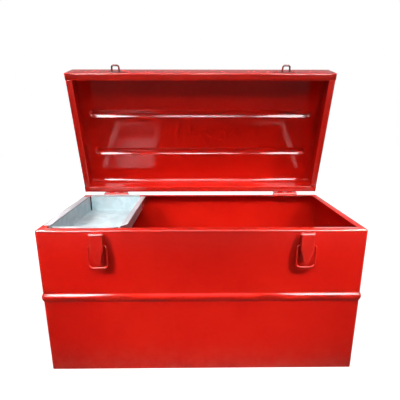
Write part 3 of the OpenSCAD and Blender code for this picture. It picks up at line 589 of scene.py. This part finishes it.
def behind_lid(points):
    """Places a leaf's points against the rear of the lid, upside down, so that it stands up from the pin."""
    return on_lid(points * (1, 1, -1) + (0, chest_d, -lid_gap))


for side, word in ((-1, "left"), (1, "right")):
    body_leaf, lid_leaf = leaf(side, 0, behind), leaf(side, 1, behind_lid)
    piece(f"{word}_hinge_body_leaf", body_leaf, f"hinge_{word}_body_leaf", "chest", red_hardware)
    piece(f"{word}_hinge_lid_leaf", lid_leaf, f"hinge_{word}_lid_leaf", "lid", red_hardware)
paint_cad(red_hardware, "hinge_left_pin", "hinge_right_pin", "hinge_body_rivets", "hinge_lid_rivets")

# ---------- Draw latches ----------
# A riveted base with two ears carries the lever, a channel bent from 1 mm strip with its top rolled
# over the pin; a wire bail hangs in the lever's cheeks. All sprayed with the chest.

latch_x, latch_z, pivot_out, latch_t = 0.1595, 0.2419, 0.0060, 0.0010
weld_gap, running, latch_pin_r = 0.0001, 0.00005, 0.0015
base_t, base_r, base_foot, base_top = 0.0009, 0.007, 0.047, 0.0032
ear_r, ears_half, ears_end, gusset_top = 0.0032, 0.0086, 0.013, 0.0036
lever_w, lever_len, lever_tip, tip_r, roll_r = 0.0200, 0.0422, 0.0048, 0.0022, 0.0046
lever_taper, cheek_in, cheek_foot, cheek_cut = 0.0239, 0.0004, 0.0016, (0.0014, 0.0031)
bail_r, bail_w, bail_len, bail_drop, bail_end = 0.0013, 0.0313, 0.036, 0.0169, 0.0086
bail_top_r, bail_foot_r = 0.00395, 0.0065


def arc(cx, cy, r, a0, a1, steps):
    """Points on a circle's arc between two angles in degrees."""
    a = np.radians(np.linspace(a0, a1, steps + 1))
    return np.column_stack((cx + r * np.cos(a), cy + r * np.sin(a)))


def wire(path, r, across):
    """Round wire along a path in the plane square to across. Ring points are r * (cos a * across + sin a *
    tangent x across); at both ends the radius shrinks as sin and the middle line is drawn back, which rounds
    them. Its wear comes and goes along it as 0.35 + 0.3 sin."""
    line, share = soften(path, 2 * r)
    across = np.asarray(across, float)
    tangent = np.gradient(line, axis=0)
    tangent /= np.linalg.norm(tangent, axis=1, keepdims=True)
    a = np.radians(np.arange(0, 360, 20))[None, :, None]
    ring = np.cos(a) * across + np.sin(a) * np.cross(tangent, across)[:, None]
    points = line[:, None] + ring * (r * share)[:, None, None]
    i = np.arange(points.shape[0] * points.shape[1]).reshape(points.shape[:2])
    j = np.roll(i, -1, 1)
    walls = np.stack((i[:-1], j[:-1], j[1:], i[1:]), -1).reshape(-1, 4).tolist()
    caps = [i[0, ::-1].tolist(), i[-1].tolist()]
    rub = 0.35 + 0.3 * np.sin(np.linspace(0, 40, len(line)))
    return points.reshape(-1, 3), walls + caps, np.repeat(rub, points.shape[1])


def on_front(side):
    """Places (x, out from the wall, up from the lever's pin) at one latch."""
    return lambda q: np.stack((side * latch_x + q[..., 0], front_y - q[..., 1], latch_z + q[..., 2]), -1)


def upright(place, x, outline, t, holes=()):
    """Plate that stands square to the wall at x, with its outline in (out, up)."""
    return plate(outline, t, lambda q: place(np.stack((x + q[:, 2], q[:, 0], q[:, 1]), -1)), holes)


def latch_base(side):
    """Base plate with a round foot, and two ears round the pin with a gusset down to the wall."""
    place = on_front(side)
    half = [(base_r, -ears_end), (ears_half, -ears_end), (ears_half, -base_top)]
    other_half = [(-x, z) for x, z in half[::-1]]
    outline = np.concatenate((arc(0, -base_foot, base_r, -180, 0, 16), half, other_half))
    lift = lambda q: place(np.stack((q[:, 0], weld_gap + base_t / 2 + q[:, 2], q[:, 1]), -1))
    gusset = [(weld_gap, -gusset_top), (weld_gap, -ears_end), (weld_gap + base_t, -ears_end)]
    ear = np.concatenate((arc(pivot_out, 0, ear_r, -20, 216, 20), gusset))
    ears = [upright(place, x, ear, latch_t) for x in (latch_t / 2 - ears_half, ears_half - latch_t / 2)]
    return [plate(outline, base_t, lift), *ears]


def lever(side):
    """Face of the lever: a strip that starts 80 degrees back over the roll, bends over the pin and runs down.
    From lever_taper on, its half width falls in a straight line to lever_tip, and at the tip it loses
    r - sqrt(r^2 - z^2). The cheeks are plates with two holes."""
    place = on_front(side)
    mid, tip_z = roll_r - latch_t / 2, tip_r - lever_len
    tip = tip_z - tip_r * np.sin(np.radians(np.linspace(6, 88, 16)))
    down = np.concatenate((np.linspace(0, -lever_taper, 10), np.linspace(-lever_taper, tip_z, 9)[1:], tip))
    face = np.column_stack((np.full(len(down), pivot_out + mid), down))
    line, share = soften(np.concatenate((arc(pivot_out, 0, mid, 80, 0, 12)[:-1], face)), latch_t)
    z = line[:, 1]
    half = np.interp(-z, (lever_taper, -tip_z), (lever_w / 2, lever_tip))
    below = np.clip(tip_z - z, 0, tip_r * 0.9995)  # the tip's last row stays a little wider than a point
    half -= tip_r - np.sqrt(tip_r**2 - below**2)
    x, x_share = soften(np.linspace(-1, 1, 9), latch_t / (lever_w / 2))
    grid = np.empty((len(x), len(line), 3))
    grid[..., 0] = x[:, None] * half
    grid[..., 1], grid[..., 2] = line[:, 0], z
    r = roll_r - cheek_in
    cheek = np.concatenate((
        arc(pivot_out, 0, r, 0, 180, 18),
        [(pivot_out - r, -bail_drop), (pivot_out - r + cheek_cut[0], -bail_drop - cheek_cut[1]),
         (pivot_out + cheek_foot, -lever_taper), (pivot_out + r, -lever_taper)],
    ))
    bores = ((0, latch_pin_r), (-bail_drop, bail_r + running))
    holes = [arc(pivot_out, up, bore_r, 0, 345, 23) for up, bore_r in bores]
    cheek_x = (lever_w - latch_t) / 2
    cheeks = [upright(place, x, cheek, latch_t, holes) for x in (-cheek_x, cheek_x)]
    return [sheet(place(grid), latch_t, x_share, share), *cheeks]


def loop(width, drop, r, top_r, foot_r, end_x):
    """Middle line of a hanging wire loop, (x, z): two ends turned in at the top, two legs and a bar."""
    leg = width / 2 - r
    line = [(end_x, 0), (leg, 0), (leg, -drop), (-leg, -drop), (-leg, 0), (-end_x, 0)]
    return fillet(line, [top_r, foot_r, foot_r, top_r], 12)


for side, word in ((-1, "left"), (1, "right")):
    piece(f"{word}_latch_base", latch_base(side), f"latch_{word}_base", "chest", red_hardware)
    piece(f"{word}_latch_lever", lever(side), f"latch_{word}_lever", f"{word}_lever", red_hardware)
    line = loop(bail_w, bail_len, bail_r, bail_top_r, bail_foot_r, bail_end)
    line = np.stack((line[:, 0], np.full(len(line), pivot_out), line[:, 1] - bail_drop), -1)
    bail = wire(on_front(side)(line), bail_r, (0, 1, 0))
    piece(f"{word}_latch_bail", [bail], f"latch_{word}_bail", f"{word}_bail", red_hardware)
paint_cad(red_hardware, "latch_left_pin", "latch_right_pin", "latch_rivets")

# ---------- Strikes ----------
# On the lid above each latch a plate with round ends is riveted on, with a wire loop welded to it. They
# get a darker copy of the lid's red enamel, which is painted shade for the shade they stand in on the open lid,
# and the paint is thin on the wire.

strike_t, strike_r, strike_reach = 0.0011, 0.0065, 0.0165
strike_up, strike_plate_up = 0.0079, 0.0089
strike_wire_r, strike_bend_r = 0.0016, 0.0036
strike_foot, strike_top = (0.0071, 0.0006), (0.0063, 0.0124)

# A darker copy of the red enamel: painted shade for the strikes, which stand in shade on the open lid.
red_painted_shade = enamel("red_painted_shade", (0.16, 0.010, 0.009), (0.24, 0.014, 0.012), (0.40, 0.06, 0.05), 0.10)


def on_lid_front(side):
    """Places (x, out from the lid's front, up from its rim) at one strike."""
    return lambda q: on_lid(np.stack((side * latch_x + q[..., 0], -q[..., 1], q[..., 2]), -1))


def strike(side):
    """Plate whose outline is two half circles joined by straight lines, and a wire loop of two legs, which lean
    a little towards each other, and a bar."""
    place = on_lid_front(side)
    right, left = arc(strike_reach, 0, strike_r, -90, 90, 18), arc(-strike_reach, 0, strike_r, 90, 270, 18)
    out = weld_gap + strike_t / 2
    lift = lambda q: place(np.stack((q[:, 0], out + q[:, 2], strike_plate_up + q[:, 1]), -1))
    mirror = np.array((-1, 1))
    line = [strike_foot, strike_top, strike_top * mirror, strike_foot * mirror]
    line = fillet(line, [strike_bend_r, strike_bend_r], 10)
    line = np.column_stack((line, np.full(len(line), strike_up)))
    across = on_lid(np.array((0.0, 0, 1))) - on_lid(np.zeros(3))
    return [plate(np.concatenate((right, left)), strike_t, lift), wire(place(line), strike_wire_r, across)]


for side, word in ((-1, "left"), (1, "right")):
    piece(f"{word}_strike", strike(side), f"strike_{word}", "lid", red_painted_shade)
paint_cad(red_hardware, "strike_rivets")

# ---------- Drop handles ----------
# On each end a bar of 6 mm rod hangs in two straps riveted to the wall: its ends are turned in and swing
# under the straps' bends. Painted like the hinges and latches.

handle_z, handle_out = 0.200, 0.00345
rod_r, handle_w, handle_drop, handle_bend_r, handle_end = 0.003, 0.104, 0.038, 0.009, 0.022
strap_t, strap_w, strap_x, strap_end, strap_bend_r = 0.0015, 0.014, 0.032, 0.01355, 0.0012
strap_mid, strap_out = rod_r + running + strap_t / 2, weld_gap + strap_t / 2


def on_end(side):
    """Places (x along the end, out from it, up from the handle's pivot) on one end of the chest."""
    end_x = chest_w / 2
    return lambda q: np.stack((side * (end_x + q[..., 1]), -side * q[..., 0], handle_z + q[..., 2]), -1)


def strap(side, x):
    """Strap: two tabs on the wall and a bend over the bar. The profile is a line, most of half a turn about
    the bar and the same line mirrored."""
    tab = [(strap_out, -strap_end), (strap_out, -strap_mid), (handle_out, -strap_mid)]
    lower = fillet(tab, [strap_bend_r], 6)
    upper = (lower * (1, -1))[::-1]
    line, share = soften(np.concatenate((lower, arc(handle_out, 0, strap_mid, -85, 85, 20), upper)), strap_t)
    across, x_share = soften(np.linspace(x - strap_w / 2, x + strap_w / 2, 5), strap_t)
    grid = np.empty((len(across), len(line), 3))
    grid[..., 0] = across[:, None]
    grid[..., 1], grid[..., 2] = line[:, 0], line[:, 1]
    return sheet(on_end(side)(grid), strap_t, x_share, share)


for side, word in ((-1, "left"), (1, "right")):
    straps = [strap(side, x) for x in (-strap_x, strap_x)]
    piece(f"{word}_handle_straps", straps, f"handle_{word}_clips", "chest", red_hardware)
    line = loop(handle_w, handle_drop, rod_r, handle_bend_r, handle_bend_r, handle_end)
    line = np.stack((line[:, 0], np.full(len(line), handle_out), line[:, 1]), -1)
    bar = wire(on_end(side)(line), rod_r, (1, 0, 0))
    piece(f"{word}_handle_bar", [bar], f"handle_{word}_bar", f"{word}_handle", red_hardware)
paint_cad(red_hardware, "handle_rivets")

# ---------- Tray ----------
# Lift-out tray of galvanised sheet: a blank folded up on four sides and out again as flanges, open
# at its upright corners. The flanges hang on the chest's rims; the front right one is cut on a slant.

tray_t = 0.0008
tray_x = (-0.2390, -0.1276)
tray_y = (-0.1065, 0.1075)
tray_z = (0.2161, 0.2491)
tray_mid, lip_mid = 0.0025 + tray_t / 2, 0.0011
left_lip, right_lip, front_lip, rear_lip = 0.012, 0.0096, 0.0075, 0.0135
seam_gap, lip_in, slant_in, slit = 0.00005, 0.005, 0.00185, tray_t + 0.0026
lip_z = tray_z[1] - tray_t
left_slant, right_slant, rear_slant = 0.25, 0.3125, 0.15  # a flange's ends draw in by this much of its reach

# Hot-dip zinc: crystals a centimetre across, each at its own tilt and brightness, dulled in clouds. The
# flanges are painted a darker, pinker grey: the rub of the rims they slide on, together with painted shade and
# a painted reflection of the red rims. A near-black line of painted shade runs in the bend below them.
zinc_sheet = bpy.data.materials.new("zinc_sheet")
zinc_sheet.use_nodes = True
tree = zinc_sheet.node_tree
shader = tree.nodes["Principled BSDF"]
place = tree.nodes.new("ShaderNodeTexCoord").outputs["Object"]
height = coordinate(tree, "Object", "Z")
crystal = tree.nodes.new("ShaderNodeTexVoronoi")
crystal.inputs["Scale"].default_value = 85
tree.links.new(place, crystal.inputs["Vector"])
tilt = tree.nodes.new("ShaderNodeSeparateColor")
tree.links.new(crystal.outputs["Color"], tilt.inputs[0])
cloud = fade(tree, noise(tree, place, 26, 5, 0.6), 0.32, 0.68)
# Painted shade and reflection, with real rub: the flanges' level is mixed to a darker, pinker grey.
lip = fade(tree, height, lip_z - 0.0004, lip_z + 0.0001)
# Painted shade: a near-black line in the bend just below the flange level.
under_lip = fade(tree, height, lip_z + 0.0003, lip_z - 0.0005, 0.0, 0.7)
bend_shade = maths(tree, "MULTIPLY", fade(tree, height, lip_z - 0.0021, lip_z - 0.0009), under_lip)
spangle = mix_colour(tree, tilt.outputs[0], (0.38, 0.49, 0.525), (0.52, 0.64, 0.67))
spangle = mix_colour(tree, maths(tree, "MULTIPLY", cloud, cloud), spangle, (0.43, 0.515, 0.54))
# Mixes in the flanges' painted shade and rub, then the line of painted shade in the bend.
spangle = mix_colour(tree, lip, spangle, (0.42, 0.405, 0.43))
spangle = mix_colour(tree, bend_shade, spangle, (0.10, 0.10, 0.12))
frost = bump(tree, noise(tree, place, 900, 4, 0.7), 0.00002, 0.5)
tree.links.new(spangle, shader.inputs["Base Color"])
tree.links.new(fade(tree, tilt.outputs[1], 0, 1, 0.40, 0.56), shader.inputs["Roughness"])
tree.links.new(bump(tree, tilt.outputs[2], 0.00004, 0.25, frost), shader.inputs["Normal"])
shader.inputs["Metallic"].default_value = 0.08


def trough_line(out_0, lo, hi, out_1):
    """Section across the tray (across, up): flange, wall, floor, wall, flange, on the middle of the sheet."""
    h = tray_t / 2
    floor, top = tray_z[0] + h, tray_z[1] - h
    line = [(lo + h - out_0, top), (lo + h, top), (lo + h, floor)]
    line += [(hi - h, floor), (hi - h, top), (hi - h + out_1, top)]
    return fillet(line, [lip_mid, tray_mid, tray_mid, lip_mid], 6)


def trough():
    """Floor, left and right sides: the section carried from front to rear, lo + f * (hi - lo). Each point of
    it has its own two ends: clear of the end walls' bends on the floor, close to those walls, and slanted on
    the flanges."""
    line, line_share = soften(trough_line(left_lip, *tray_x, right_lip), tray_t)
    u, z = line.T
    left, right = np.maximum(tray_x[0] - u, 0), np.maximum(u - tray_x[1], 0)
    on_floor = z < tray_z[0] + tray_t
    stretches = [on_floor, right > 0, left > 0]
    left_cut, wall_cut = lip_in + left * left_slant, tray_t + seam_gap
    front_cut = np.select(stretches, [tray_mid, slant_in + right, left_cut], wall_cut)
    rear_cut = np.select(stretches, [tray_mid, lip_in + right * right_slant, left_cut], wall_cut)
    lo, hi = tray_y[0] + front_cut, tray_y[1] - rear_cut
    f, f_share = soften(np.linspace(0, 1, 9), tray_t / (tray_y[1] - tray_y[0]))
    grid = np.empty((len(f), len(u), 3))
    grid[..., 0], grid[..., 2] = u, z
    grid[..., 1] = lo + f[:, None] * (hi - lo)
    return sheet(grid, tray_t, f_share, line_share)


def end_wall(front):
    """Front or rear wall of the trough with its flange: bend at the floor, wall, bend, flange."""
    out, slant = (front_lip, 1.0) if front else (rear_lip, rear_slant)
    line = trough_line(out, *tray_y, out)
    line = line[line[:, 0] < 0][::-1] if front else line[line[:, 0] > 0]
    line, share = soften(line, tray_t)
    share[:4] = 1  # the wall runs on into the floor at full thickness
    v, z = line.T
    start = tray_y[0] + tray_mid if front else tray_y[1] - tray_mid
    v = np.where(np.arange(len(v)) < 4, start, v)
    past = np.maximum(tray_y[0] - v, 0) if front else np.maximum(v - tray_y[1], 0)
    x0 = tray_x[0] + slit + past * slant
    x1 = tray_x[1] - slit - past * slant
    x1 = np.where((past > 0) & front, tray_x[1] - slant_in - past, x1)
    f, f_share = soften(np.linspace(0, 1, 7), tray_t / (tray_x[1] - tray_x[0]))
    grid = np.empty((len(f), len(v), 3))
    grid[..., 0] = x0 + f[:, None] * (x1 - x0)
    grid[..., 1], grid[..., 2] = v, z
    return sheet(grid, tray_t, f_share, share)


piece("zinc_tray", [trough(), end_wall(True), end_wall(False)], "tray", "tray", zinc_sheet)
